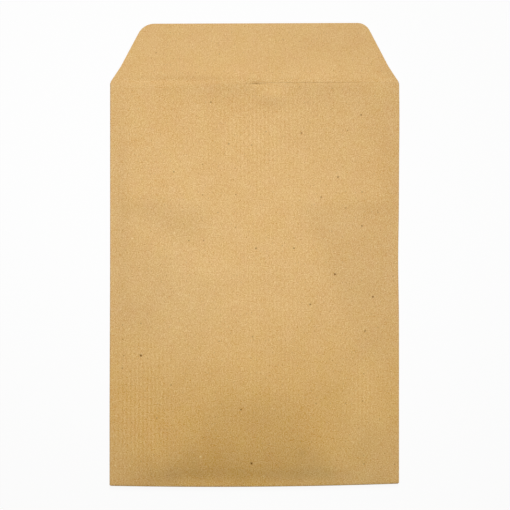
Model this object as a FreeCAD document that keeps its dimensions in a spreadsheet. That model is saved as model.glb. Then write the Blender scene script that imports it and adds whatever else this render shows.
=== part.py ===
import FreeCAD, Part
import math
import os
import Sketcher

# Paper pocket envelope with a flap on its short side, lying open flap up on a table, front face up.
# It is one sheet: front panel, seal flap, two side panels folded behind and glued over each other,
# and a bottom flap folded up and glued over both. X runs across, Y from the bottom fold to the flap,
# Z up. All sizes are millimetres.

SIZES = {
    "paper_thickness": 0.12,
    "body_width": 163.0,
    "body_height": 227.0,
    "flap_depth": 33.5,
    "shoulder_inset": 6.0,
    "shoulder_rise": 9.1,
    "flap_side_inset": 18.8,
    "left_corner_radius": 10.2,
    "right_corner_radius": 7.8,
    "seam_overlap": 20.0,
    "seam_start": 0.0,
    "seam_edge_gap": 0.15,
    "throat_depth": 10.0,
    "throat_radius": 9.0,
    "bottom_flap_depth": 22.0,
    "bottom_flap_inset": 1.0,
    "bottom_flap_taper": 7.0,
    "bottom_corner_radius": 5.0,
    "gap_at_bottom": 0.2,
    "gap_at_mouth": 1.4,
    "swell_place": 64.0,
    "swell_rise": 3.2,
    "swell_half_width": 38.0,
    "cut_margin": 0.5,
}

# Places worked out from the sizes. Heights are stacked layer on layer from the table: bottom flap,
# outer panel, inner panel, the air in the pocket, front panel. The middle of the front stands
# higher than its sides at the swell.
PLACES = {
    "half_width": "sizes.body_width / 2",
    "outer_panel_height": "sizes.paper_thickness",
    "inner_panel_height": "2 * sizes.paper_thickness",
    "seam_top_height": "3 * sizes.paper_thickness",
    "front_top_at_bottom": "4 * sizes.paper_thickness + sizes.gap_at_bottom",
    "front_top_at_mouth": "4 * sizes.paper_thickness + sizes.gap_at_mouth",
    "front_under_at_bottom": "front_top_at_bottom - sizes.paper_thickness",
    "front_under_at_mouth": "front_top_at_mouth - sizes.paper_thickness",
    "bottom_bend_radius": "front_top_at_bottom / 2",
    "share_at_swell": "(sizes.swell_place - bottom_bend_radius) / (sizes.body_height - bottom_bend_radius)",
    "front_top_at_swell": "front_top_at_bottom + share_at_swell * (front_top_at_mouth - front_top_at_bottom)",
    "front_under_at_swell": "front_top_at_swell - sizes.paper_thickness",
    "middle_top_at_bottom": "front_top_at_bottom",
    "middle_top_at_swell": "front_top_at_swell + sizes.swell_rise",
    "middle_top_at_mouth": "front_top_at_mouth",
    "middle_under_at_bottom": "middle_top_at_bottom - sizes.paper_thickness",
    "middle_under_at_swell": "middle_top_at_swell - sizes.paper_thickness",
    "middle_under_at_mouth": "middle_top_at_mouth - sizes.paper_thickness",
    "side_bend_at_bottom": "(front_top_at_bottom - sizes.paper_thickness) / 2",
    "side_bend_at_swell": "(front_top_at_swell - sizes.paper_thickness) / 2",
    "side_bend_at_mouth": "(front_top_at_mouth - sizes.paper_thickness) / 2",
    "right_bend_at_bottom": "half_width - side_bend_at_bottom",
    "left_bend_at_bottom": "-right_bend_at_bottom",
    "right_bend_at_swell": "half_width - side_bend_at_swell",
    "left_bend_at_swell": "-right_bend_at_swell",
    "right_bend_at_mouth": "half_width - side_bend_at_mouth",
    "left_bend_at_mouth": "-right_bend_at_mouth",
    "swell_right": "sizes.swell_half_width",
    "swell_left": "-swell_right",
    "inner_panel_edge": "sizes.seam_start",
    "outer_panel_edge": "sizes.seam_start + sizes.seam_overlap",
    "jog_foot": "outer_panel_edge + sizes.seam_edge_gap",
    "jog_back": "jog_foot + sizes.paper_thickness",
    "crease": "sizes.body_height",
    "flap_tip": "sizes.body_height + sizes.flap_depth",
    "flap_half_tip": "half_width - sizes.flap_side_inset",
    "knee_half_width": "half_width - sizes.shoulder_inset",
    "knee_height": "sizes.body_height + sizes.shoulder_rise",
    "throat": "sizes.body_height - sizes.throat_depth",
    "throat_half_width": "half_width + sizes.cut_margin",
    "throat_cut_end": "sizes.body_height + sizes.cut_margin",
    "flap_cut_end": "flap_tip + sizes.cut_margin",
    "throat_cut_top": "sizes.paper_thickness + side_bend_at_mouth",
    "bottom_flap_end": "sizes.bottom_flap_depth",
    "bottom_half_fold": "half_width - sizes.bottom_flap_inset",
    "bottom_half_tip": "bottom_half_fold - sizes.bottom_flap_taper",
    "middle": "-flap_tip / 2",
}

doc = FreeCAD.newDocument("envelope")


def fill_sheet(name, cells, mark):
    """Write one alias per row, the values as text."""
    sheet = doc.addObject("Spreadsheet::Sheet", name)
    for row, (alias, content) in enumerate(cells.items(), start=1):
        sheet.set(f"A{row}", alias)
        sheet.set(f"B{row}", f"{mark}{content}")
        sheet.setAlias(f"B{row}", alias)
    doc.recompute()
    return sheet


sizes = fill_sheet("sizes", SIZES, "")
places = fill_sheet("places", PLACES, "=")


def number(alias):
    """The present value of a place, with its sign."""
    name = alias.lstrip("-")
    value = float(getattr(places, name))
    return -value if alias.startswith("-") else value


def term(alias):
    """The expression that binds a dimension to a place."""
    if alias.startswith("-"):
        return f"-places.{alias[1:]}"
    return f"places.{alias}"


def pin(sketch, geometry, point, across, along):
    """Hold one point of a sketch at two places, measured from the origin; along None is on the X axis."""
    if along is None:
        sketch.addConstraint(Sketcher.Constraint("PointOnObject", geometry, point, -1))
    for kind, alias in (("DistanceX", across), ("DistanceY", along)):
        if alias is None:
            continue
        constraint = Sketcher.Constraint(kind, -1, 1, geometry, point, number(alias))
        index = sketch.addConstraint(constraint)
        sketch.setExpression(f"Constraints[{index}]", term(alias))


def new_sketch(body, name, role, offset=None):
    """A sketch on one of the body's own origin planes, moved along its normal if an offset is given."""
    sketch = body.newObject("Sketcher::SketchObject", name)
    plane = [item for item in body.Origin.OriginFeatures if item.Role == role][0]
    sketch.AttachmentSupport = (plane, [""])
    sketch.MapMode = "FlatFace"
    if offset is not None:
        sketch.setExpression("AttachmentOffset.Base.z", offset)
    return sketch


def outline(sketch, corners, half_turns=None):
    """A closed chain through corners given as pairs of places, the second None on the table line.

    Spans are straight, apart from those after the corners numbered in half_turns: each of these is
    a half circle on an upright diameter that turns to the side named, left or right.
    """
    half_turns = half_turns or {}
    spots = [FreeCAD.Vector(number(across), 0 if along is None else number(along), 0)
             for across, along in corners]
    spans = []
    for index, spot in enumerate(spots):
        following = spots[(index + 1) % len(spots)]
        side = half_turns.get(index)
        if side is None:
            spans.append((sketch.addGeometry(Part.LineSegment(spot, following)), 1, 2))
            continue
        first = spot if side == "left" else following
        radius = spot.distanceToPoint(following) / 2
        circle = Part.Circle((spot + following) / 2, FreeCAD.Vector(0, 0, 1), radius)
        start_angle = math.copysign(math.pi / 2, first.y - circle.Center.y)
        arc = sketch.addGeometry(Part.ArcOfCircle(circle, start_angle, start_angle + math.pi))
        sketch.addConstraint(Sketcher.Constraint("Vertical", arc, 3, arc, 1))
        spans.append((arc, 1, 2) if side == "left" else (arc, 2, 1))
    for index, (geometry, start, end) in enumerate(spans):
        after = spans[(index + 1) % len(spans)]
        sketch.addConstraint(Sketcher.Constraint("Coincident", geometry, end, after[0], after[1]))
        pin(sketch, geometry, start, *corners[index])
    return [span[0] for span in spans]


def round_corner(sketch, span, radius):
    """Round the corner at the end of a straight span, with the corner's own place kept."""
    sketch.fillet(span, 2, float(getattr(sizes, radius)), True, True)
    arcs = [index for index, item in enumerate(sketch.Geometry) if isinstance(item, Part.ArcOfCircle)]
    index = sketch.addConstraint(Sketcher.Constraint("Radius", arcs[-1], float(getattr(sizes, radius))))
    sketch.setExpression(f"Constraints[{index}]", f"sizes.{radius}")


def section(body, name, station, offset, wall):
    """Section of the pocket across its width, at one station along it: outside or inside of the wall."""
    left, right = f"left_bend_at_{station}", f"right_bend_at_{station}"
    if wall == "outside":
        panel, raised, face = "outer_panel_height", "inner_panel_height", "top"
        step_start, step_end = "outer_panel_edge", "jog_foot"
    else:
        panel, raised, face = "inner_panel_height", "seam_top_height", "under"
        step_start, step_end = "inner_panel_edge", "jog_back"
    side, middle = f"front_{face}_at_{station}", f"middle_{face}_at_{station}"
    sketch = new_sketch(body, name, "XZ_Plane", offset)
    corners = [(left, panel), (step_start, panel), (step_start, raised), (step_end, raised),
               (step_end, panel), (right, panel), (right, side), ("swell_right", middle),
               ("swell_left", middle), (left, side)]
    outline(sketch, corners, {5: "left", 9: "left"})
    return sketch


def add_pocket(body):
    """Front panel, both side folds and the two glued side panels behind, as one tube.

    It is flat at the bottom fold, open at the mouth, and the front swells up in its lower middle.
    """
    stations = (("bottom", "-places.bottom_bend_radius"), ("swell", "-sizes.swell_place"),
                ("mouth", "-places.crease"))
    for wall, kind in (("outside", "PartDesign::AdditiveLoft"), ("inside", "PartDesign::SubtractiveLoft")):
        sketches = [section(body, f"{wall}_at_{station}", station, offset, wall)
                    for station, offset in stations]
        doc.recompute()
        loft = body.newObject(kind, f"pocket_{wall}")
        loft.Profile = sketches[0]
        loft.Sections = sketches[1:]
        loft.Ruled = True
        doc.recompute()


def cut_throat(body):
    """The mouth: the panels behind end below the crease, with rounded shoulders up to the side folds."""
    sketch = new_sketch(body, "throat_outline", "XY_Plane")
    spans = outline(sketch, [("-throat_half_width", "throat_cut_end"), ("-throat_half_width", "throat"),
                             ("throat_half_width", "throat"), ("throat_half_width", "throat_cut_end")])
    round_corner(sketch, spans[0], "throat_radius")
    round_corner(sketch, spans[1], "throat_radius")
    doc.recompute()
    pocket = body.newObject("PartDesign::Pocket", "throat_cut")
    pocket.Profile = sketch
    pocket.Reversed = True
    pocket.setExpression("Length", "places.throat_cut_top")
    doc.recompute()


def add_flap(body):
    """The seal flap, from the crease down to the table at its tip, with its sides cut on a slant."""
    band = new_sketch(body, "flap_profile", "YZ_Plane")
    outline(band, [("crease", "front_under_at_mouth"), ("flap_tip", None),
                   ("flap_tip", "outer_panel_height"), ("crease", "front_top_at_mouth")])
    doc.recompute()
    pad = body.newObject("PartDesign::Pad", "flap")
    pad.Profile = band
    pad.SideType = "Symmetric"
    pad.setExpression("Length", "sizes.body_width")
    doc.recompute()
    offcut = new_sketch(body, "flap_offcut", "XY_Plane")
    spans = outline(offcut, [
        ("-half_width", "crease"), ("-knee_half_width", "knee_height"), ("-flap_half_tip", "flap_tip"),
        ("flap_half_tip", "flap_tip"), ("knee_half_width", "knee_height"), ("half_width", "crease"),
        ("throat_half_width", "crease"), ("throat_half_width", "flap_cut_end"),
        ("-throat_half_width", "flap_cut_end"), ("-throat_half_width", "crease")])
    round_corner(offcut, spans[1], "left_corner_radius")
    round_corner(offcut, spans[2], "right_corner_radius")
    doc.recompute()
    pocket = body.newObject("PartDesign::Pocket", "flap_cut")
    pocket.Profile = offcut
    pocket.Reversed = True
    pocket.setExpression("Length", "places.front_top_at_mouth")
    doc.recompute()


def add_bottom(body):
    """The bottom fold, a half turn round the panels' ends, and the flap glued up over them."""
    bend = new_sketch(body, "bottom_bend", "YZ_Plane")
    outline(bend, [("bottom_bend_radius", "front_top_at_bottom"), ("bottom_bend_radius", None),
                   ("bottom_bend_radius", "outer_panel_height"),
                   ("bottom_bend_radius", "front_under_at_bottom")], {0: "left", 2: "right"})
    doc.recompute()
    fold = body.newObject("PartDesign::Pad", "bottom_fold")
    fold.Profile = bend
    fold.SideType = "Symmetric"
    fold.setExpression("Length", "2 * places.bottom_half_fold")
    doc.recompute()
    plan = new_sketch(body, "bottom_flap_outline", "XY_Plane")
    spans = outline(plan, [
        ("-bottom_half_fold", "bottom_bend_radius"), ("bottom_half_fold", "bottom_bend_radius"),
        ("bottom_half_tip", "bottom_flap_end"), ("-bottom_half_tip", "bottom_flap_end")])
    round_corner(plan, spans[1], "bottom_corner_radius")
    round_corner(plan, spans[2], "bottom_corner_radius")
    doc.recompute()
    flap = body.newObject("PartDesign::Pad", "bottom_flap")
    flap.Profile = plan
    flap.setExpression("Length", "sizes.paper_thickness")
    doc.recompute()


body = doc.addObject("PartDesign::Body", "envelope")
body.Label = "envelope"
for step in (add_pocket, cut_throat, add_flap, add_bottom):
    step(body)
    print(step.__name__, round(body.Shape.Volume, 2), len(body.Shape.Solids), body.Tip.Name)
body.setExpression("Placement.Base.y", "places.middle")
doc.recompute()

for item in doc.Objects:
    if "Invalid" in item.State or "Error" in item.State:
        raise SystemExit(f"{item.Name} did not build: {item.State}")
    if item.TypeId == "Sketcher::SketchObject" and not item.FullyConstrained:
        raise SystemExit(f"{item.Name} has a free dimension")
if body.Shape.isNull() or not body.Shape.isValid() or len(body.Shape.Solids) != 1:
    raise SystemExit("the envelope is not one valid solid")
box = body.Shape.optimalBoundingBox()
print("envelope", round(box.XLength, 3), round(box.YLength, 3), round(box.ZLength, 3),
      "lowest", round(box.ZMin, 4), "volume", round(body.Shape.Volume, 1), "area", round(body.Shape.Area, 1))
os.makedirs("parts", exist_ok=True)
body.Shape.exportStep(f"parts/{body.Label}.step")
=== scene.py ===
# %% [markdown]
# # A kraft paper envelope, lying open
#
# The real thing is one sheet of light-brown ribbed paper. A die cuts a blank with four flaps: a
# seal flap at the top, a wide panel on each side and a short flap at the bottom. The side panels
# fold behind the front and are glued over each other, and the bottom flap folds up over both.
# This lesson does the same. It lays out the flat blank as a grid, folds it with a few formulas,
# lets a node tree push the small swells and dents of handled paper into it, gives it its
# thickness, and dresses it in a paper material made only of procedural textures.

# %% Load the frame
import math
import bpy
import numpy as np
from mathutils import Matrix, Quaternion, Vector


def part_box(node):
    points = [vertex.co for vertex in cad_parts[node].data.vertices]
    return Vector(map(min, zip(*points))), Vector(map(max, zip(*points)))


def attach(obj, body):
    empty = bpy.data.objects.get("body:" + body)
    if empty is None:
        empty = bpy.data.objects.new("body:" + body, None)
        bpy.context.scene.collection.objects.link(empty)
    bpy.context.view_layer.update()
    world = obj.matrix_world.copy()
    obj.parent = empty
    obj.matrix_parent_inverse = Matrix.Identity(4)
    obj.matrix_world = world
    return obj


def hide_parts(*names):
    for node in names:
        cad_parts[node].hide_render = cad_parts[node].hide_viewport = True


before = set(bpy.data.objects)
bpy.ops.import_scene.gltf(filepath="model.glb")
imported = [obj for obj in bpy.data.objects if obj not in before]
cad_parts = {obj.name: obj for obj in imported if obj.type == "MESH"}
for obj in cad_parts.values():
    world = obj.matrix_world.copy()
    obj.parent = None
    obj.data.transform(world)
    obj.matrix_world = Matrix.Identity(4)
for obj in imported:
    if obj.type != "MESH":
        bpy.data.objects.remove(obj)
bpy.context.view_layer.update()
low, high = (Vector(corner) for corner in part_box("envelope"))
print("frame box in mm:", [round(1000 * side, 2) for side in high - low])

# %% [markdown]
# ## The sizes
#
# The outline comes from the frame's box, so that the visual sheet and the solid stay one object.
# Only what the box can't tell is written here: where the crease is, how the flap is cut, how the
# panels behind end, and how far from a fold the paper stays stiff. All lengths are metres, and MM
# keeps the numbers readable.

# %% Name the sizes
MM = 0.001
PAPER = 0.12 * MM
GLUE_GAP = 0.02 * MM
FLAP_DEPTH = 33.5 * MM
HALF_WIDTH = (high.x - low.x) / 2
BOTTOM = low.y
TIP = high.y
CREASE = TIP - FLAP_DEPTH
SHOULDER = (6.0 * MM, 9.1 * MM)
SIDE_INSET = 18.8 * MM
CORNER_LEFT = 10.2 * MM
CORNER_RIGHT = 7.8 * MM
THROAT_DEPTH = 10.0 * MM
THROAT_DROP = 0.3 * MM
MOUTH_ARCH = 0.35 * MM
TIP_GAP = 0.1 * MM
SEAM_START = 0.0 * MM
SEAM_END = 20.0 * MM
BOTTOM_FLAP = 22.0 * MM
BOTTOM_INSET = 0.5 * MM
BOTTOM_TAPER = 7.0 * MM
BOTTOM_CORNER = 5.0 * MM
FOLD_RADIUS_BOTTOM = 0.30 * MM
FOLD_RADIUS_MOUTH = 0.42 * MM
SIDE_SINK = 8.0 * MM
SIDE_STIFF = 12.0 * MM
BOTTOM_STIFF = 11.0 * MM
LAYER = PAPER + GLUE_GAP
BEND_STEPS = 8
print("crease at", round(1000 * CREASE, 2), "mm, half width", round(1000 * HALF_WIDTH, 2), "mm")

# %% [markdown]
# ## The blank as a grid
#
# A sheet folds well when its grid lines run along the folds. The middle grid holds the front and
# both side panels: each of its rows starts at the free edge of the left panel, goes round the left
# fold, over the front, round the right fold and on to the free edge of the right panel. The seal
# flap and the bottom flap are two more grids that share the front's first and last rows of points.
# Rows are close together at the crease and at the ends, where the paper bends most.


# %% Lay out the rows and columns
def spaced(*runs):
    """Numbers through several stretches, each given as its end and the step used up to it."""
    values = [runs[0]]
    for end, step in runs[1:]:
        count = max(1, round((end - values[-1]) / step))
        values.extend(np.linspace(values[-1], end, count + 1)[1:])
    return np.array(values)


height = CREASE - BOTTOM
rows = spaced(0.0, (0.03, 0.006), (0.955, 0.0085), (0.985, 0.0035), (1.0, 0.0019))
front_columns = spaced(-1.0, (-0.985, 0.005), (0.985, 0.0155), (1.0, 0.005))
bend_angles = np.linspace(0, math.pi, BEND_STEPS + 1)[1:-1]
left_reach = spaced(0.0, (2 * MM, 0.4 * MM), (12 * MM, 1.2 * MM), (HALF_WIDTH + SEAM_END, 3 * MM))
jog = HALF_WIDTH - SEAM_END
right_reach = spaced(0.0, (2 * MM, 0.4 * MM), (12 * MM, 1.2 * MM), (jog - 3 * MM, 3 * MM),
                     (jog + MM, 0.5 * MM), (HALF_WIDTH - SEAM_START, 3 * MM))
print("rows", len(rows), "front columns", len(front_columns),
      "panel columns", len(left_reach), len(right_reach))

# %% [markdown]
# ## Folding
#
# A fold in paper is a half turn with a small radius. The angle round the bend runs from 0, where
# the front ends, to a half turn, where the panel behind begins, so its sine and cosine give each
# point's place. Every height is that of the middle of the paper, because the thickness comes later.
# The panels behind rest on the table where nothing is under them, and step up by one layer over the
# bottom flap and over each other. Each point is kept as six numbers: its place, its place in the
# flat blank, and how freely it may move up and down.


# %% Write the folding formulas
def ease(start, end, value):
    """0 before start, 1 after end, and a smooth rise between them."""
    share = np.clip((value - start) / (end - start), 0, 1)
    return share * share * (3 - 2 * share)


def row_of_points(x, y, z, flat_x, flat_y, lift):
    return np.stack(np.broadcast_arrays(x, y, z, flat_x, flat_y, lift), -1).astype(float)


table = low.z + PAPER / 2
bottom_turn = LAYER / 2 + FOLD_RADIUS_BOTTOM
first_row = BOTTOM + bottom_turn + PAPER / 2
front_y = first_row + rows * (CREASE - first_row)
radius = FOLD_RADIUS_BOTTOM + (FOLD_RADIUS_MOUTH - FOLD_RADIUS_BOTTOM) * rows
edge = HALF_WIDTH - radius - PAPER / 2


def panel_height(x, y, inner):
    """Height of a panel behind. The inner one, which is the right one, lies over the left one."""
    over_flap = 1 - ease(BOTTOM_FLAP, BOTTOM_FLAP + 4 * MM, y - BOTTOM)
    over_panel = inner * (1 - ease(SEAM_END, SEAM_END + 1.5 * MM, x))
    return table + LAYER * (over_flap + over_panel)


fold_foot = table + LAYER * (1 - ease(0, 0.5, rows))
fold_height = fold_foot + 2 * radius
print("front at", round(1000 * fold_height[0], 2), "mm at the bottom,",
      round(1000 * fold_height[-1], 2), "mm at the crease")

# %% [markdown]
# ## The side folds and the panels behind
#
# Seen from behind, the mouth has a throat: each side panel starts at the corner of the crease and
# sinks in a quarter round to ten millimetres below it. Each column of points runs up the envelope,
# and the columns follow the paper from the front's edge round the bend and along the panel. Points
# all round the bend make a fold that shines like a real one, which a hard edge wouldn't.


# %% Write the side strips
def throat(along):
    """Where a panel ends, by the way along the paper from the outermost line of its fold."""
    round_part = THROAT_DEPTH - THROAT_DROP
    inside = np.clip(round_part - along, 0, None)
    return CREASE - THROAT_DROP - round_part + (round_part - np.sqrt(round_part**2 - inside**2))


def side_strip(sign, reach, inner):
    """Columns of points from the front's edge outwards: round the bend, then along the panel."""
    columns = []
    for angle in bend_angles:
        past_edge = angle - math.pi / 2
        if past_edge < 0:
            end = CREASE - THROAT_DROP * angle / (math.pi / 2)
        else:
            end = throat(FOLD_RADIUS_MOUTH * past_edge)
        y = first_row + rows * (end - first_row)
        x = sign * (edge + radius * math.sin(angle))
        z = fold_height - radius * (1 - math.cos(angle))
        columns.append(row_of_points(x, y, z, sign * (edge + radius * angle), y, 0))
    for distance in reach:
        end = throat(FOLD_RADIUS_MOUTH * math.pi / 2 + distance)
        y = first_row + rows * (end - first_row)
        x = sign * (edge - distance)
        near_fold = 1 - ease(0, SIDE_SINK, distance)
        z = near_fold * fold_foot + (1 - near_fold) * panel_height(x, y, inner)
        columns.append(row_of_points(x, y, z, sign * (edge + math.pi * radius + distance), y, 0))
    return columns


left = side_strip(-1, left_reach, 0)[::-1]
right = side_strip(1, right_reach, 1)
print("side strips:", len(left), "and", len(right), "columns")

# %% [markdown]
# ## The front
#
# The front has no throat. It runs on over the crease into the seal flap, and it stands a little
# higher in its middle than at its folds. How freely each of its points may move grows with the way
# from the folds, because paper is stiff where it is folded.


# %% Make the middle grid
def front_strip():
    columns = []
    for place in front_columns:
        x = place * edge
        arch = MOUTH_ARCH * ease(0.2, 1.0, rows) * (1 - place**2)
        near_fold = 1 - np.clip((front_y - first_row) / BOTTOM_STIFF, 0, 1)
        free = ease(0, SIDE_STIFF, edge - np.abs(x)) * (1 - near_fold**2)
        columns.append(row_of_points(x, front_y, fold_height + arch, x, front_y, free))
    return columns


main = np.stack(left + front_strip() + right, 1)
first, last = len(left), len(left) + len(front_columns)
print("middle grid:", main.shape[0], "by", main.shape[1], "points")

# %% [markdown]
# ## The outline of the seal flap
#
# The seal flap's sides are cut on a slant that changes at a knee, and its corners are rounded. A
# row of points between the two sides is enough for such an outline, if the rows gather where the
# corners turn. So the outline is a formula: the half width at each way up from the crease.


# %% Write the outline
def corner_inset(depth, rise, slant, corner_radius):
    """How far a rounded corner pulls in a side that already runs inwards by slant for each rise."""
    turn = math.atan2(1, slant)
    reach = corner_radius * math.tan(turn / 2)
    if rise < depth - reach * math.sin(turn):
        return 0.0
    across = math.sqrt(max(0.0, corner_radius**2 - (rise - depth + corner_radius) ** 2))
    return (depth - rise) * slant + reach - across


def flap_half_width(rise, corner_radius):
    """Half width of the seal flap at a way up from the crease."""
    inset, knee = SHOULDER
    slant = (SIDE_INSET - inset) / (FLAP_DEPTH - knee)
    side = rise * inset / knee if rise < knee else inset + (rise - knee) * slant
    return HALF_WIDTH - side - corner_inset(FLAP_DEPTH, rise, slant, corner_radius)


print("half width of the flap in mm at its knee and tip:",
      [round(1000 * flap_half_width(rise, CORNER_LEFT), 1) for rise in (SHOULDER[1], FLAP_DEPTH)])

# %% [markdown]
# ## The two end flaps
#
# The seal flap comes down from the crease to the table, and it moves less and less towards its tip,
# which lies there. Its two corners differ, so each half of a row is as wide as its own corner
# allows. The bottom flap is made the same way, after a half turn under the front.

# %% Make the seal flap
crease_line = main[-1, first:last]
flap_rises = spaced(0.0, (1.5 * MM, 0.3 * MM), (6 * MM, 0.6 * MM), (24 * MM, 1.5 * MM),
                    (30 * MM, 0.8 * MM), (32.5 * MM, 0.4 * MM), (33.3 * MM, 0.16 * MM),
                    (FLAP_DEPTH, 0.06 * MM))[1:]
flap_rows = []
for rise in flap_rises:
    down = 1 - rise / FLAP_DEPTH
    x = np.where(front_columns < 0, front_columns * flap_half_width(rise, CORNER_LEFT),
                 front_columns * flap_half_width(rise, CORNER_RIGHT))
    z = table + TIP_GAP + (crease_line[:, 2] - table - TIP_GAP) * down
    tied = (1 - crease_line[:, 5]) * (1 - ease(0, SIDE_STIFF, rise))
    flap_rows.append(row_of_points(x, CREASE + rise, z, x, CREASE + rise, (1 - tied) * down))
print("seal flap rows:", len(flap_rows))

# %% Make the bottom flap
bottom_half = HALF_WIDTH - BOTTOM_INSET
bottom_rows = []
for angle in bend_angles:
    y = first_row - bottom_turn * math.sin(angle)
    z = table + bottom_turn * (1 + math.cos(angle))
    x = front_columns * bottom_half
    bottom_rows.append(row_of_points(x, y, z, x, first_row - bottom_turn * angle, 0))
bottom_depth = BOTTOM_FLAP - bottom_turn - PAPER / 2
slant = BOTTOM_TAPER / bottom_depth
for rise in spaced(0.0, (bottom_depth - 5 * MM, 3 * MM), (bottom_depth - MM, 0.8 * MM),
                   (bottom_depth, 0.25 * MM)):
    inset = rise * slant + corner_inset(bottom_depth, rise, slant, BOTTOM_CORNER)
    x = front_columns * (bottom_half - inset)
    flat_y = first_row - math.pi * bottom_turn - rise
    bottom_rows.append(row_of_points(x, first_row + rise, table, x, flat_y, 0))
print("bottom flap rows:", len(bottom_rows))

# %% [markdown]
# ## Small errors of the cut and the folds
#
# A real envelope is never quite straight. Seen from above, this one's bottom fold bows by about a
# millimetre and climbs to the right, its right fold has a slight waist, and the tip of the flap is
# cut a hair askew. All layers move together by smooth functions of their place, so the folds stay
# closed.


# %% Shift the points by those errors
def swell(value, centre, reach):
    return np.exp(-(((value - centre) / reach) ** 2))


def off_true(grid):
    across = grid[..., 0] / HALF_WIDTH
    y = grid[..., 1].copy()
    below = np.clip((CREASE - y) / (CREASE - BOTTOM), 0, 1) ** 2
    grid[..., 1] += below * (-0.96 + 0.62 * across + 1.13 * across**2) * MM
    grid[..., 1] += ease(CREASE, TIP, y) * (0.06 + 0.30 * across) * MM
    waist = 0.25 * swell(y, 76 * MM, 20 * MM) - 0.42 * swell(y, -3 * MM, 22 * MM)
    grid[..., 0] += np.clip(across, 0, 1) ** 3 * waist * MM
    grid[..., 0] -= np.clip(-across, 0, 1) ** 3 * 0.3 * ease(10 * MM, -100 * MM, y) * MM
    return grid


grids = [off_true(grid) for grid in (main, np.stack(flap_rows), np.stack(bottom_rows))]

# %% [markdown]
# ## From grids to one mesh
#
# The three grids become one open surface, because both end flaps reuse the points of the front's
# first and last rows. The place of each point in the flat blank is kept as a UV map in metres: a
# pattern that reads it runs on round the folds, as it does in real paper. The number called lift
# says how freely a point may move up and down: not at the folds, fully in the middle of the front.


# %% Join the grids
def strip_faces(index):
    corners = index[:-1, :-1], index[:-1, 1:], index[1:, 1:], index[1:, :-1]
    return np.stack([corner.ravel() for corner in corners], 1)


starts = np.cumsum([0] + [grid.shape[0] * grid.shape[1] for grid in grids])
main_index, flap_index, bottom_index = (
    start + np.arange(grid.shape[0] * grid.shape[1]).reshape(grid.shape[:2])
    for start, grid in zip(starts, grids))
flap_index = np.vstack([main_index[-1:, first:last], flap_index])
bottom_index = np.vstack([main_index[:1, first:last], bottom_index])
faces = np.vstack([strip_faces(main_index), strip_faces(flap_index),
                   strip_faces(bottom_index)[:, ::-1]])
points = np.vstack([grid.reshape(-1, 6) for grid in grids])

blank = bpy.data.meshes.new("envelope_sheet")
blank.from_pydata(points[:, :3].tolist(), [], faces.tolist())
corner_points = np.empty(len(blank.loops), dtype=np.int32)
blank.loops.foreach_get("vertex_index", corner_points)
blank.uv_layers.new(name="blank").data.foreach_set("uv", points[corner_points, 3:5].ravel())
blank.attributes.new("lift", "FLOAT", "POINT").data.foreach_set("value", points[:, 5])
sheet = bpy.data.objects.new("envelope_sheet", blank)
bpy.context.collection.objects.link(sheet)
print("open sheet:", len(blank.vertices), "points,", len(blank.polygons), "faces")

# %% [markdown]
# ## A short way to write node trees
#
# Node trees for shapes and for materials both do sums with Math nodes. The small class below lets a
# sum be written as a sum: each + or * on a Field adds one Math node, so a formula in the script
# reads the same as it would on paper.


# %% Write the class for sums
class Field:
    """A value that flows through a node tree."""

    def __init__(self, tree, socket):
        self.tree, self.socket = tree, socket

    def math(self, operation, *others):
        node = self.tree.nodes.new("ShaderNodeMath")
        node.operation = operation
        for index, value in enumerate((self, *others)):
            if isinstance(value, Field):
                self.tree.links.new(value.socket, node.inputs[index])
            else:
                node.inputs[index].default_value = value
        return Field(self.tree, node.outputs[0])

    def __add__(self, other):
        return self.math("ADD", other)

    def __sub__(self, other):
        return self.math("SUBTRACT", other)

    def __mul__(self, other):
        return self.math("MULTIPLY", other)

    def __truediv__(self, other):
        return self.math("DIVIDE", other)

    def clamped(self):
        return self.math("MAXIMUM", 0.0).math("MINIMUM", 1.0)

    def smooth(self):
        """Turn a straight rise from 0 to 1 into a soft one."""
        straight = self.clamped()
        return straight * straight * (straight * -2.0 + 3.0)


# %% [markdown]
# ## Any other node
#
# The helper add() makes a node, sets its options and feeds its inputs, and group_tree() starts an
# empty node group with named inputs. With them a tree is a short list of calls.


# %% Write the node helpers
def add(tree, kind, inputs=(), **settings):
    """Add a node, set its options, then feed its inputs with fields, sockets or plain values."""
    node = tree.nodes.new(kind)
    for name, value in settings.items():
        setattr(node, name, value)
    for name, value in dict(inputs).items():
        value = value.socket if isinstance(value, Field) else value
        if isinstance(value, bpy.types.NodeSocket):
            tree.links.new(value, node.inputs[name])
        else:
            node.inputs[name].default_value = value
    return node


def group_tree(name, kind, inputs, outputs):
    """An empty node group, with the nodes that bring its inputs in and its outputs out."""
    tree = bpy.data.node_groups.new(name, kind)
    for direction, sockets in (("INPUT", inputs), ("OUTPUT", outputs)):
        for label, socket_type in sockets:
            tree.interface.new_socket(label, in_out=direction, socket_type=socket_type)
    return tree, tree.nodes.new("NodeGroupInput"), tree.nodes.new("NodeGroupOutput")


# %% [markdown]
# ## One soft bump
#
# Handled paper keeps swells, dents and shallow flutes. All of them are one hill of the same form,
# long or round, turned one way or another, high or below zero. So one node group holds that form,
# and the tree that shapes the sheet uses it again and again.

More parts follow.
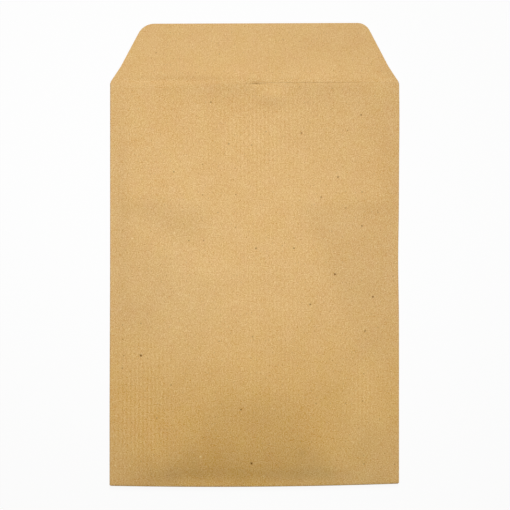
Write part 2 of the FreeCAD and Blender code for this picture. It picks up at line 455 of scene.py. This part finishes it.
# %% Make the soft bump group
NUMBER = "NodeSocketFloat"
BUMP_SIZES = ("Centre X", "Centre Y", "Half length", "Half width", "Turn", "Height")
bump_group, bump_in, bump_out = group_tree(
    "soft bump", "GeometryNodeTree",
    [("X", NUMBER), ("Y", NUMBER)] + [(label, NUMBER) for label in BUMP_SIZES],
    [("Height", NUMBER)])
across, along, centre_x, centre_y, half_length, half_width, turn, bump_height = (
    Field(bump_group, bump_in.outputs[name]) for name in ("X", "Y") + BUMP_SIZES)
across, along = across - centre_x, along - centre_y
cosine, sine = turn.math("COSINE"), turn.math("SINE")
long_way = (across * cosine + along * sine) / half_length
short_way = (along * cosine - across * sine) / half_width
hill = bump_height * ((long_way * long_way + short_way * short_way) * -1.0).math("EXPONENT")
bump_group.links.new(hill.socket, bump_out.inputs["Height"])
print("soft bump group:", len(bump_group.nodes), "nodes")

# %% [markdown]
# ## The dents of this envelope
#
# The list holds what is seen in this one sheet: the raised end of the glued seam behind, the crease
# that was pressed harder on the left, gentle swells along the edges, a shallow hollow at the left,
# and the flutes over the bottom fold. Each line is one soft bump.

# %% List the bumps of this envelope
# centre x, centre y, half length, half width in millimetres, turn in degrees, height in millimetres
BUMPS = [
    (10.0, 89.0, 8.0, 5.0, 0, 0.55),
    (1.0, 96.2, 3.6, 1.0, -4, -0.20),
    (-42.0, 98.0, 34.0, 2.2, 0, -0.18),
    (42.0, 96.7, 40.0, 0.5, 0, -0.05),
    (36.0, 97.5, 24.0, 7.0, 0, 0.34),
    (-16.0, 98.5, 22.0, 6.0, 0, 0.32),
    (66.0, 30.0, 28.0, 5.0, 0, 0.08),
    (-76.0, 30.0, 20.0, 8.0, 0, 0.08),
    (-50.0, 14.0, 26.0, 9.0, -30, -0.26),
    (-40.0, -4.0, 28.0, 8.0, -28, 0.10),
    (72.0, 88.0, 14.0, 24.0, 0, 0.50),
    (-66.0, 76.0, 20.0, 20.0, 0, 0.40),
    (-14.0, -104.0, 14.0, 16.0, 0, 0.25),
    (63.0, -96.0, 9.0, 25.0, 0, 0.75),
    (-60.0, -110.0, 14.0, 16.0, 0, 0.45),
    (-58.9, -110.0, 3.2, 16.0, 3, 0.26),
    (-44.9, -113.0, 3.4, 18.0, -2, 0.25),
    (-32.4, -113.0, 3.2, 16.0, 4, 0.22),
    (-8.2, -116.0, 4.0, 14.0, 0, 0.20),
    (25.6, -112.0, 3.8, 18.0, -3, 0.14),
    (42.5, -113.0, 3.4, 16.0, 2, 0.10),
    (54.9, -112.0, 3.4, 18.0, -4, 0.26),
    (73.5, -110.0, 3.2, 18.0, 0, 0.16),
    (14.4, 114.5, 1.3, 8.0, 0, -0.06),
]
print(len(BUMPS), "bumps")

# %% [markdown]
# ## A tree for the shape of the handled sheet
#
# The modifier that shapes the sheet is a node tree with every size as a named input, so another
# envelope can use it with other sizes. It reads the place of each point and works out one height to
# lift the point by.

# %% Start the tree and name its sizes
SHAPE_SIZES = ("Half width", "Bottom", "Belly top", "Belly height", "Side slope", "End slope",
               "Corner width", "Taper", "Lean", "Roll height", "Roll start", "Roll place",
               "Roll end", "Wave height", "Wave size", "Seed")
shape_tree, shape_in, shape_out = group_tree(
    "handled paper", "GeometryNodeTree",
    [("Sheet", "NodeSocketGeometry")] + [(label, NUMBER) for label in SHAPE_SIZES]
    + [("Paper", "NodeSocketMaterial")],
    [("Sheet", "NodeSocketGeometry")])
given = {socket.name: Field(shape_tree, socket) for socket in shape_in.outputs if socket.name}
place = add(shape_tree, "ShaderNodeSeparateXYZ",
            {"Vector": add(shape_tree, "GeometryNodeInputPosition").outputs[0]})
x, y = Field(shape_tree, place.outputs["X"]), Field(shape_tree, place.outputs["Y"])
print("named inputs:", len(given))

# %% [markdown]
# ## The belly and the roll
#
# An empty envelope lies on the table like a low hipped roof: it is flat at its three folds and
# stands highest in its lower middle. The smooth minimum of its slopes gives just that roof with
# soft ridges. Its foot is widest at the end slope's top and narrows on the way to the flap, which
# draws the two long slanting ridges. A second, broad roll lies across the front under the flap,
# where the envelope was bent in the hand. The last number of each smooth minimum or maximum says
# how softly the two slopes meet.

# %% Write the belly and the roll
way_up = y - given["Bottom"]
widening = given["Corner width"] / given["End slope"]
wide_part = given["Half width"] - given["Corner width"] + way_up * widening
narrow_part = given["Half width"] - (way_up - given["End slope"]) * given["Taper"]
foot = wide_part.math("SMOOTH_MIN", narrow_part, 30 * MM)
lower_way = (way_up / given["End slope"]).clamped()
middle = given["Lean"] * (lower_way * -1.0 + 1.0)
side = ((foot - (x - middle).math("ABSOLUTE")) / given["Side slope"]).smooth()
lower_end = lower_way * (lower_way * -0.5 + 1.5)
upper_end = (given["Belly top"] - y) / (given["Belly top"] - given["Bottom"] - given["End slope"])
roof = side.math("SMOOTH_MIN", lower_end, 0.3).math("SMOOTH_MIN", upper_end, 0.4)
belly = roof.math("SMOOTH_MAX", 0.0, 0.2) * given["Belly height"]
below = (y - given["Roll start"]) / (given["Roll place"] - given["Roll start"])
above = (given["Roll end"] - y) / (given["Roll end"] - given["Roll place"])
roll = below.math("SMOOTH_MIN", above, 0.1).math("SMOOTH_MAX", 0.0, 0.15) * given["Roll height"]
raised = belly.math("SMOOTH_MAX", roll, 0.6 * MM)
print("nodes so far:", len(shape_tree.nodes))

# %% [markdown]
# ## Bumps, waves and the end of the tree
#
# Each line of the list becomes one soft bump group. Gentle noise adds the waviness of paper that
# has been in a stack. The sum is scaled by lift, so the folds stay where they are, and it moves the
# points up. The tree ends by making all geometry real and giving it the paper.

# %% Add the bumps and the waves
for centre_x, centre_y, half_length, half_width, turn, bump_height in BUMPS:
    sizes = (centre_x * MM, centre_y * MM, half_length * MM, half_width * MM, math.radians(turn),
             bump_height * MM)
    bump = add(shape_tree, "GeometryNodeGroup", {"X": x, "Y": y, **dict(zip(BUMP_SIZES, sizes))},
               node_tree=bump_group)
    raised = raised + Field(shape_tree, bump.outputs["Height"])

spot = add(shape_tree, "ShaderNodeCombineXYZ",
           {"X": x / given["Wave size"], "Y": y / given["Wave size"], "Z": given["Seed"]})
wave = add(shape_tree, "ShaderNodeTexNoise",
           {"Vector": spot.outputs[0], "Scale": 1.0, "Detail": 1.0, "Roughness": 0.45})
raised = raised + (Field(shape_tree, wave.outputs[0]) - 0.5) * given["Wave height"]
lift = add(shape_tree, "GeometryNodeInputNamedAttribute", {"Name": "lift"}, data_type="FLOAT")
raised = raised * Field(shape_tree, lift.outputs["Attribute"])
print("nodes with bumps and waves:", len(shape_tree.nodes))

# %% Move the points and end the tree
offset = add(shape_tree, "ShaderNodeCombineXYZ", {"Z": raised})
moved = add(shape_tree, "GeometryNodeSetPosition",
            {"Geometry": given["Sheet"], "Offset": offset.outputs[0]})
real = add(shape_tree, "GeometryNodeRealizeInstances", {"Geometry": moved.outputs[0]})
dressed = add(shape_tree, "GeometryNodeSetMaterial",
              {"Geometry": real.outputs[0], "Material": given["Paper"]})
shape_tree.links.new(dressed.outputs[0], shape_out.inputs["Sheet"])
print("handled paper tree:", len(shape_tree.nodes), "nodes")

# %% [markdown]
# ## The paper
#
# Ribbed kraft paper is brown wood fibre. Close up, its colour is a mix of many things at different
# sizes: soft clouds where the fibre lies thicker, a fine mottle, single fibres and dark specks of
# bark. All of that is built from two procedural textures, noise and Voronoi cells, on the flat
# blank's UV map, so it runs on round the folds as it does in real paper. The next cell holds the few
# helpers that every layer uses, with all sizes in millimetres.


# %% Write the texture helpers
def noise(tree, where, size, stretch=(1.0, 1.0), detail=2.0, roughness=0.5, seed=0.0, turned=0.0):
    """Noise from about 0 to 1 with a middle of 0.5; size is one blot in millimetres."""
    scale = (1 / (size * stretch[0]), 1 / (size * stretch[1]), 1.0)
    mapped = add(tree, "ShaderNodeMapping",
                 {"Vector": where, "Scale": scale, "Rotation": (0.0, 0.0, turned),
                  "Location": (seed * 3.7, seed * 5.3, seed)})
    texture = add(tree, "ShaderNodeTexNoise",
                  {"Vector": mapped.outputs[0], "Scale": 1.0, "Detail": detail,
                   "Roughness": roughness})
    return Field(tree, texture.outputs[0])


def flakes(tree, where, cell, stretch=(1.0, 1.0), seed=0.0):
    """Small Voronoi cells: the way to the nearest centre, and two random numbers of each cell."""
    scale = (1 / (cell * stretch[0]), 1 / (cell * stretch[1]), 1.0)
    mapped = add(tree, "ShaderNodeMapping",
                 {"Vector": where, "Scale": scale, "Location": (seed * 2.3, seed * 4.1, 0.0)})
    cells = add(tree, "ShaderNodeTexVoronoi",
                {"Vector": mapped.outputs[0], "Scale": 1.0, "Randomness": 1.0},
                voronoi_dimensions="2D")
    chances = add(tree, "ShaderNodeSeparateColor", {"Color": cells.outputs["Color"]})
    found = (cells.outputs["Distance"], chances.outputs[0], chances.outputs[1])
    return [Field(tree, socket) for socket in found]


def specks(tree, where, cell, share, size, stretch=(1.0, 1.0), seed=0.0):
    """1 on small specks and 0 elsewhere: a share of the flakes gets one."""
    distance, chance, own_size = flakes(tree, where, cell, stretch, seed)
    reach = (own_size * 0.7 + 0.3) * size
    return (distance * -1.0 / reach + 1.0).clamped() * chance.math("LESS_THAN", share)


def soft_spot(x, y, centre_x, centre_y, reach_x, reach_y):
    """1 at a centre, fading out round it."""
    across, along = (x - centre_x) / reach_x, (y - centre_y) / reach_y
    return ((across * across + along * along) * -1.0).math("EXPONENT")


def with_spots(field, x, y, spots):
    """A field with soft spots added, each given as its centre, reach and strength."""
    for centre_x, centre_y, reach_x, reach_y, strength in spots:
        field = field + soft_spot(x, y, centre_x, centre_y, reach_x, reach_y) * strength
    return field


# %% [markdown]
# ## Marks of this sheet
#
# Noise gives paper in general. What makes it this sheet is written down as places in millimetres on
# the flat blank. The ribs are clearest in four patches. A few broad patches are painted a little
# paler or darker than the rest: painted light and shade. Some specks are large enough to be known one
# by one: each has its centre, its reach and its strength.

# %% List the patches and the large specks
RIB_PITCH = 2.283
RIB_PATCHES = [
    (-64.0, -88.0, 18.0, 38.0, 0.9), (6.0, 68.0, 30.0, 26.0, 0.7),
    (6.0, -40.0, 30.0, 60.0, 0.35), (61.0, -77.0, 8.0, 24.0, 0.6),
]
# Broad patches of painted light and shade: centre, reach and strength, in millimetres.
PAINTED_LIGHT_SHADE_PATCHES = [
    (61.0, -98.0, 13.0, 40.0, 0.058), (-42.0, -26.0, 22.0, 48.0, 0.040),
    (50.0, -127.0, 36.0, 7.0, 0.045), (33.0, -119.0, 10.0, 7.0, 0.050),
    (74.0, 45.0, 12.0, 34.0, -0.035), (-35.0, 85.0, 40.0, 28.0, -0.025),
    (-56.0, -98.0, 16.0, 10.0, -0.028), (-24.0, -114.0, 9.0, 11.0, -0.050),
]
DARK_SPECKS = [
    (-64.0, -56.8, 0.55, 1.5), (45.3, -11.2, 0.48, 1.35), (66.8, -24.1, 0.45, 1.35),
    (47.0, 43.5, 0.42, 1.05), (0.8, 3.5, 0.42, 1.05), (22.2, 3.5, 0.42, 1.05),
    (60.0, 78.5, 0.40, 1.05), (60.6, 15.9, 0.40, 1.05), (-1.7, -117.0, 0.50, 1.5),
    (31.3, -28.1, 0.42, 1.05), (37.5, 32.2, 0.42, 0.9), (62.3, -43.3, 0.42, 0.9),
    (-7.6, -86.7, 0.42, 1.05), (26.7, -111.5, 2.20, 0.105), (-24.6, 85.7, 0.42, 0.9),
    (-14.5, 62.2, 0.40, 0.75), (26.4, 68.3, 0.42, 0.9), (-45.5, 46.5, 0.40, 0.75),
]
PALE_SPECKS = [(-30.5, -113.2, 0.50, 0.50), (-45.2, 12.1, 0.50, 0.40)]
dark_spots = [(x, y, size, size, strength) for x, y, size, strength in DARK_SPECKS]
pale_spots = [(x, y, size, size, strength) for x, y, size, strength in PALE_SPECKS]
print(len(RIB_PATCHES), "patches of ribs,", len(PAINTED_LIGHT_SHADE_PATCHES), "clouds,", len(dark_spots), "dark and",
      len(pale_spots), "pale specks")

# %% [markdown]
# ## Fibre and grain
#
# Each layer is noise of one size, and together they give the look of pulp. Most of what the eye
# sees is grain of half a millimetre. Real fibres are one to three millimetres long and lie along the
# way the sheet ran through the machine, so a second noise is stretched along it, and a third, weaker
# one lies across. Flecks are tiny cells of even tone. Clouds, blots and mottle are larger and faint.


# %% Write the layers of pulp
def pulp_layers(tree, where):
    """The layers by name, each from about -0.5 to 0.5."""
    return {
        "clouds": noise(tree, where, 16, detail=3.0, roughness=0.55, seed=1) - 0.5,
        "blots": noise(tree, where, 9, stretch=(0.8, 1.3), roughness=0.6, seed=11) - 0.5,
        "mottle": noise(tree, where, 2.6, roughness=0.6, seed=2) - 0.5,
        "grain": noise(tree, where, 0.52, stretch=(1.0, 1.25), detail=1.0, roughness=0.6, seed=3) - 0.5,
        "fibre": noise(tree, where, 0.46, stretch=(1.0, 6.0), detail=1.0, seed=4, turned=0.04) - 0.5,
        "cross": noise(tree, where, 0.34, stretch=(2.0, 1.0), detail=1.0, seed=5, turned=-0.5) - 0.5,
        "flecks": flakes(tree, where, 0.38, stretch=(0.9, 1.4), seed=6)[1] - 0.5,
    }


# %% [markdown]
# ## Ribs
#
# The paper is dried against a ribbed felt, which leaves faint lines a little over two millimetres
# apart along the sheet. A cosine across the sheet draws them, and a slow wobble keeps them from
# being ruled lines. They are broken along their way, and strong only in the listed patches.


# %% Write the ribs
def rib_lines(tree, where, x, y, broken):
    wobble = noise(tree, where, 14, stretch=(1.0, 4.0), detail=1.0, seed=6) - 0.5
    lines = ((x + wobble * 0.6) * (2 * math.pi / RIB_PITCH)).math("COSINE")
    kept = noise(tree, where, 20, stretch=(0.8, 1.5), roughness=0.6, seed=8) * 0.3 - 0.06
    kept = with_spots(kept, x, y, RIB_PATCHES)
    return lines * kept.clamped() * ((broken - 0.25) * 2.0).clamped()


# %% [markdown]
# ## Bark, the painted shade of the crease and the gum
#
# Bark shows as dark specks in two random sizes, besides the listed ones. The crease of the seal flap
# gets a thin dark line of painted shade on the right of the sheet. It starts in a small kink at the
# middle and fades out on the right, and noise makes it wander and break. The inner face of the flap
# carries a strip of dry gum, which is a little darker and smoother than the paper.

# %% Name the dark colour and the places of the gum
BARK = (0.210, 0.088, 0.004)
# Painted shade: the dark kink of the crease line, as its centre and reach in millimetres.
CREASE_SHADE_KINK = (0.6, 96.1, 3.6, 0.32)
GUM_START = CREASE / MM + 12.0
GUM_END = TIP / MM - 4.0
GUM_HALF_LENGTH = 58.0
print("gum strip:", round(GUM_END - GUM_START, 1), "mm deep")


# %% Write the dark marks
def bark_specks(tree, where, x, y):
    large = specks(tree, where, 9.0, 0.20, 0.070, seed=1) * 0.70
    small = specks(tree, where, 1.8, 0.45, 0.18, stretch=(1, 2.0), seed=2) * 0.44
    return with_spots(large.math("MAXIMUM", small), x, y, dark_spots)


# Painted shade: a thin dark line along the crease on the right, and a dark kink at its middle.
def crease_painted_shade(x, y, wander, broken):
    crease_y = y + wander * 1.2
    line = ((crease_y - CREASE / MM).math("ABSOLUTE") / -0.26 + 1.0).clamped()
    line = line * ((x - 3.0) / 3.0).smooth() * (broken * 1.4 - 0.05).clamped()
    line = line * (((x - 40.0) / 34.0).smooth() * -0.75 + 1.0)
    return line + soft_spot(x, crease_y, *CREASE_SHADE_KINK)


def gum_strip(x, y, wander):
    along = y + wander * 2.0
    strip = ((along - GUM_START) / 0.6).clamped() * ((along - GUM_END) / -0.6).clamped()
    return strip * ((x.math("ABSOLUTE") - GUM_HALF_LENGTH) / -0.6).clamped()


# %% [markdown]
# ## The colour of the pulp
#
# All the layers are weighed into one number, the tone, and the tone swings the base colour lighter
# or darker. Two slow changes of hue come on top: a faint blush, and a warmer tint of painted shade
# that grows from 10 mm below the middle of the sheet to the bottom of the envelope, where the sheet
# lies darker, and is weaker at its lower corners. The flap is a little smoother than the rest.

# %% Name the colours that are mixed in
TONE_SWING = (0.42, 0.53, 0.39)
BLUSH = (0.026, -0.020, 0.052)
PLAIN_TINT = (1.0, 1.0, 1.0)
# Painted shade: the warmer colour of the shaded lower part of the sheet.
PAINTED_SHADE_TINT = (1.02, 0.972, 0.75)
print("tint at the bottom:", PAINTED_SHADE_TINT)


# %% Write the colour
def vector_math(tree, operation, first, second):
    node = add(tree, "ShaderNodeVectorMath", {0: first, 1: second}, operation=operation)
    return node.outputs[0]


def scaled(tree, colour, amount):
    node = add(tree, "ShaderNodeVectorMath", {0: colour, "Scale": amount}, operation="SCALE")
    return node.outputs[0]


def mixed(tree, share, first, second):
    node = add(tree, "ShaderNodeMix", {0: share, "A": first, "B": second}, data_type="VECTOR")
    return node.outputs["Result"]


def pulp_tone(tree, where, x, y, layers, ribs):
    fine = (layers["mottle"] * 0.09 + layers["grain"] * 1.18 + layers["flecks"] * 0.07
            + layers["fibre"] * 0.38 + layers["cross"] * 0.14)
    smoother = ((y - CREASE / MM) / 8.0).smooth() * -0.25 + 1.0
    pale = specks(tree, where, 9.0, 0.25, 0.06, stretch=(1, 1.8), seed=3) * 0.30
    tone = layers["clouds"] * 0.11 + layers["blots"] * 0.12 + fine * smoother + ribs * 0.11 + pale
    # Adds the listed pale specks and the broad patches of painted light and shade.
    return with_spots(tone, x, y, pale_spots + PAINTED_LIGHT_SHADE_PATCHES)


def pulp_colour(tree, where, x, y, layers, tone, colour):
    blush = noise(tree, where, 12, stretch=(0.8, 1.3), detail=5.0, roughness=0.85, seed=12) - 0.5
    outer = x / 80.0
    # Painted shade: the warm tint grows towards the bottom and is weaker at the lower corners.
    painted_shade = ((y + 10.0) / -110.0 + layers["clouds"] * 0.3).smooth()
    painted_shade = painted_shade * (outer * outer * ((y + 75.0) / -40.0).smooth() * -0.55 + 1.0)
    tinted = vector_math(tree, "MULTIPLY", mixed(tree, painted_shade, PLAIN_TINT, PAINTED_SHADE_TINT), colour)
    toned = vector_math(tree, "ADD", scaled(tree, TONE_SWING, tone), tinted)
    return vector_math(tree, "ADD", toned, scaled(tree, BLUSH, blush))


# %% [markdown]
# ## One recipe, three papers
#
# The outside, the inside and the cut rim are the same pulp, so one function makes all three from a
# base colour of their own. The dark marks are mixed in last. The same layers also move the surface a
# little through a Bump node and change how rough it is, so that light from the side finds them. The
# specular level is the same everywhere and is set on the shader itself.


# %% Mix the paper
def paper_material(name, colour, gummed=False):
    """Kraft paper of one base colour; gummed adds the dry gum strip along the seal flap."""
    material = bpy.data.materials.new(name)
    material.use_nodes = True
    tree = material.node_tree
    shader = tree.nodes["Principled BSDF"]
    flat = add(tree, "ShaderNodeUVMap", uv_map="blank")
    where = vector_math(tree, "MULTIPLY", flat.outputs[0], (1000, 1000, 1000))
    plane = add(tree, "ShaderNodeSeparateXYZ", {"Vector": where})
    x, y = Field(tree, plane.outputs["X"]), Field(tree, plane.outputs["Y"])
    broken = noise(tree, where, 1.4, stretch=(0.8, 2.8), roughness=0.6, seed=9)
    wander = noise(tree, where, 5, detail=3.0, roughness=0.7, seed=13) - 0.5

    layers = pulp_layers(tree, where)
    ribs = rib_lines(tree, where, x, y, broken)
    tone = pulp_tone(tree, where, x, y, layers, ribs)
    # The bark specks and the painted shade along the crease darken the pulp.
    marked = bark_specks(tree, where, x, y) + crease_painted_shade(x, y, wander, broken) * 0.55
    shine = layers["grain"] * 0.25 + layers["mottle"] * 0.15 + 0.80
    if gummed:
        strip = gum_strip(x, y, wander)
        marked = marked + strip * 0.06
        shine = shine - strip * 0.45
    pulp = pulp_colour(tree, where, x, y, layers, tone, colour)
    base = mixed(tree, marked.clamped(), pulp, BARK)
    relief = (layers["grain"] * 0.03 + layers["fibre"] * 0.03 + layers["cross"] * 0.02
              + layers["mottle"] * 0.02 + ribs * 0.010)
    bump = add(tree, "ShaderNodeBump", {"Height": relief * MM, "Strength": 1.0, "Distance": 1.0})
    tree.links.new(base, shader.inputs["Base Color"])
    tree.links.new(bump.outputs[0], shader.inputs["Normal"])
    tree.links.new(shine.clamped().socket, shader.inputs["Roughness"])
    shader.inputs["Specular IOR Level"].default_value = 0.25
    return material


# %% Make the three papers
kraft = paper_material("kraft_outside", (0.730, 0.465, 0.192))
inside = paper_material("kraft_inside", (0.700, 0.450, 0.205), gummed=True)
rim = paper_material("kraft_cut_rim", (0.640, 0.425, 0.215))
print("materials:", kraft.name, inside.name, rim.name)

# %% [markdown]
# ## Shape it and give it its thickness
#
# The node tree and then Solidify run on the open sheet. Each size goes to the tree by the
# identifier of its socket, which stays the same if a name is changed. Solidify makes the second
# face and the cut rim, each with a material of its own.

# %% Shape the sheet
for material in (kraft, inside, rim):
    blank.materials.append(material)
shaping = sheet.modifiers.new("handled paper", "NODES")
shaping.node_group = shape_tree
given_sizes = {
    "Half width": 76.0 * MM, "Bottom": BOTTOM, "Belly top": 86.0 * MM, "Belly height": 5.6 * MM,
    "Side slope": 64.0 * MM, "End slope": 66.0 * MM, "Corner width": 12.0 * MM, "Taper": 0.28,
    "Lean": -4.0 * MM, "Roll height": 1.7 * MM, "Roll start": -75.0 * MM, "Roll place": 29.0 * MM,
    "Roll end": 86.0 * MM, "Wave height": 0.7 * MM, "Wave size": 34.0 * MM, "Seed": 3.0,
    "Paper": kraft,
}
for socket in shape_tree.interface.items_tree:
    if socket.in_out == "INPUT" and socket.name in given_sizes:
        shaping[socket.identifier] = given_sizes[socket.name]
thickness = sheet.modifiers.new("thickness", "SOLIDIFY")
thickness.thickness = PAPER
thickness.offset = 0.0
thickness.material_offset = 1
thickness.material_offset_rim = 2
print("modifiers:", [modifier.name for modifier in sheet.modifiers])

# %% [markdown]
# ## Keep the plain mesh
#
# What the modifiers make becomes one plain closed mesh, and the open one is deleted. The paper is
# shaded smooth, and only edges of more than 50 degrees stay sharp, which keeps the cut rim crisp.

# %% Turn the result into a mesh
shaped = sheet.evaluated_get(bpy.context.evaluated_depsgraph_get())
solid = bpy.data.meshes.new_from_object(shaped)
sheet.modifiers.clear()
sheet.data = solid
solid.name = "envelope_sheet_mesh"
bpy.data.meshes.remove(blank)
solid.shade_smooth()
solid.set_sharp_from_angle(angle=math.radians(50))
print("closed sheet:", len(solid.vertices), "points,", sum(len(p.vertices) - 2 for p in solid.polygons),
      "triangles, materials", [material.name for material in solid.materials])

# %% [markdown]
# ## The table
#
# The envelope lies on a plain white table. Rays from the camera, and those seen in a gloss or
# through glass, find it nine tenths white glow and one tenth pale card, which keeps a faint shadow.
# All other rays find only the card, so the white adds no light to the paper.

# %% Make the table
floor_mesh = bpy.data.meshes.new("table_top")
half_side = 3.0
GLOW_SHARE = 0.90
FLOOR_GAP = 0.05 * MM
floor_z = low.z - FLOOR_GAP
corners = [(-half_side, -half_side, floor_z), (half_side, -half_side, floor_z),
           (half_side, half_side, floor_z), (-half_side, half_side, floor_z)]
floor_mesh.from_pydata(corners, [], [(0, 1, 2, 3)])
floor = bpy.data.objects.new("table_top", floor_mesh)
bpy.context.collection.objects.link(floor)
white = bpy.data.materials.new("white_table")
white.use_nodes = True
tree = white.node_tree
shader = tree.nodes["Principled BSDF"]
shader.inputs["Base Color"].default_value = (0.92, 0.92, 0.92, 1.0)
shader.inputs["Roughness"].default_value = 0.9
path = add(tree, "ShaderNodeLightPath")
seen = Field(tree, path.outputs["Is Camera Ray"]).math(
    "MAXIMUM", Field(tree, path.outputs["Is Glossy Ray"])).math(
    "MAXIMUM", Field(tree, path.outputs["Is Transmission Ray"]))
glow = add(tree, "ShaderNodeEmission", {"Color": (1.0, 1.0, 1.0, 1.0), "Strength": 1.0})
mix = add(tree, "ShaderNodeMixShader", {0: seen * GLOW_SHARE, 1: shader.outputs[0], 2: glow.outputs[0]})
tree.links.new(mix.outputs[0], tree.nodes["Material Output"].inputs["Surface"])
floor_mesh.materials.append(white)
print("table top at", round(1000 * floor_z, 2), "mm")

# %% [markdown]
# ## The light
#
# A broad, slightly cool lamp hangs close over the envelope, turned a little askew. A second one
# stands low beyond the flap: its grazing light makes the shallow relief of paper visible. The room
# adds a faint warm light from all round.


# %% Place the lamps
def lamp(name, position, target, width, depth, level, colour, turned=0.0):
    """A flat lamp that looks at a target; at level 1 a white card there that faces it is white."""
    data = bpy.data.lights.new(name, "AREA")
    data.shape = "RECTANGLE"
    data.size, data.size_y = width, depth
    data.color = colour
    way = Vector(target) - Vector(position)
    data.energy = level * math.pi**2 * way.length_squared
    light = bpy.data.objects.new(name, data)
    light.location = position
    turn = Quaternion((0.0, 0.0, 1.0), math.radians(turned))
    light.rotation_euler = (way.to_track_quat("-Z", "Y") @ turn).to_euler()
    light.visible_camera = False
    bpy.context.collection.objects.link(light)


lamp("broad_overhead", (-0.035, 0.035, 0.30), (-0.035, 0.035, 0.0), 0.34, 0.12, 0.58,
     (0.98, 1.0, 1.06), turned=-25)
lamp("low_window", (0.35, 2.6, 1.0), (0.0, 0.0, 0.0), 0.8, 0.8, 0.98, (1.0, 1.0, 1.0))
world = bpy.data.worlds.new("room")
bpy.context.scene.world = world
world.use_nodes = True
background = world.node_tree.nodes["Background"]
background.inputs["Color"].default_value = (1.05, 1.0, 0.80, 1.0)
background.inputs["Strength"].default_value = 0.15
print("lamps:", [light.name for light in bpy.data.lights])

# %% [markdown]
# ## The camera
#
# The camera looks straight down from 1.2 m. The picture is 510 pixels wide, and the width of the
# envelope in it gives how much of the table one pixel shows, so the lens follows from the two.

# %% Place the camera
PIXELS = 510
MM_PER_PIXEL = 0.56375
CAMERA_HEIGHT = 1.2
CAMERA_X = 0.25 * MM
CAMERA_Y = -0.45 * MM
SENSOR = 36.0
camera_data = bpy.data.cameras.new("overhead_camera")
camera = bpy.data.objects.new("overhead_camera", camera_data)
camera.location = (CAMERA_X, CAMERA_Y, CAMERA_HEIGHT)
camera_data.sensor_width = SENSOR
surface = 1.5 * MM
camera_data.lens = SENSOR * (CAMERA_HEIGHT - surface) / (PIXELS * MM_PER_PIXEL * MM)
bpy.context.collection.objects.link(camera)
bpy.context.scene.camera = camera
bpy.context.scene.view_settings.view_transform = "Standard"
print("lens", round(camera_data.lens, 1), "mm")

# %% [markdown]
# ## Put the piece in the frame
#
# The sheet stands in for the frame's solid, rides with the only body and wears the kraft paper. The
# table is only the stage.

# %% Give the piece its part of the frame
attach(sheet, "root")
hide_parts("envelope")
